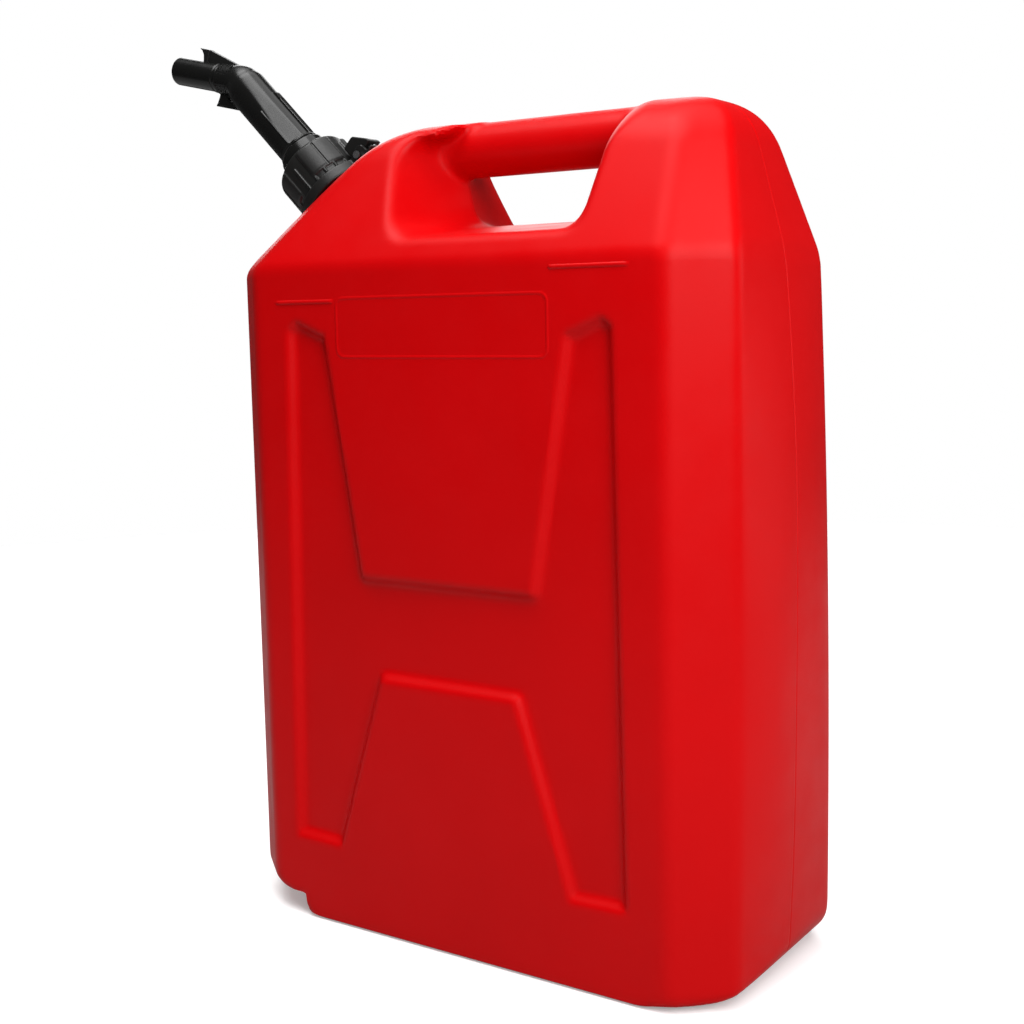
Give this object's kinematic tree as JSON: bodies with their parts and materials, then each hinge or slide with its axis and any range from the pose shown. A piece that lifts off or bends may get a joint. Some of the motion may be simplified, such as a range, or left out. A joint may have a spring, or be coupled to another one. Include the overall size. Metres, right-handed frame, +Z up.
{
  "type": "jerry can",
  "caption": "Red moulded plastic jerry can with an integral carrying handle, a screwed-on self-closing pouring spout and a sprung closure lock.",
  "frame": {"origin": "middle of the flat base, on the plane where the two mould halves meet", "axes": "+Z up; the broad faces look along -Y and +Y; the spout leans out towards -X"},
  "size_m": [0.4585, 0.158, 0.5585],
  "materials": {
    "can_red": "satin blow-moulded polyethylene with a fine grain",
    "spout_black": "satin injection-moulded plastic",
    "catch_black": "matt injection-moulded plastic",
    "natural_plastic": "undyed plastic",
    "gasket_green": "dull fuel-proof rubber",
    "seal_rubber": "dull rubber",
    "steel": "plated spring steel"
  },
  "bodies": {
    "can": {"can_body": "can_red", "lock_ring": "spout_black", "lock_pin": "steel", "lock_spring": "steel", "strainer_basket": "natural_plastic"},
    "lock": {"lock_tab": "spout_black"},
    "seal": {"neck_gasket": "gasket_green"},
    "collar": {"spout_collar": "spout_black"},
    "spout": {"spout_tube": "spout_black", "vent_tube": "natural_plastic", "valve_stem": "natural_plastic", "valve_plug": "spout_black", "plug_seal": "seal_rubber", "valve_spring": "steel"},
    "nozzle": {"nozzle_tip": "spout_black", "nozzle_seal": "seal_rubber", "tank_catch": "catch_black"}
  },
  "joints": [
    {"name": "closure_lift", "type": "slide", "parent": "can", "child": "seal", "axis": [-0.7193, 0, 0.6947], "range_m": [0, 0.01]},
    {"name": "collar_turn", "type": "hinge", "parent": "seal", "child": "collar", "pos_m": [-0.12999, 0, 0.4475], "axis": [-0.7193, 0, 0.6947], "range_deg": [0, 720]},
    {"name": "spout_swivel", "type": "hinge", "parent": "seal", "child": "spout", "pos_m": [-0.12999, 0, 0.4475], "axis": [-0.7193, 0, 0.6947], "range_deg": [-180, 180]},
    {"name": "nozzle_push", "type": "slide", "parent": "spout", "child": "nozzle", "axis": [0.9744, 0, -0.225], "range_m": [0, 0.006], "stiffness_N_per_m": 600, "springref_m": -0.002, "deforming": ["valve_spring"]},
    {"name": "lock_press", "type": "hinge", "parent": "can", "child": "lock", "pos_m": [-0.1111, 0, 0.47513], "axis": [0, 1, 0], "range_deg": [0, 12], "stiffness_Nm_per_rad": 0.4, "deforming": ["lock_spring"]}
  ],
  "couplings": [
    {"joint": "collar_turn", "follows": "closure_lift", "rad_per_m": 1256.6}
  ]
}
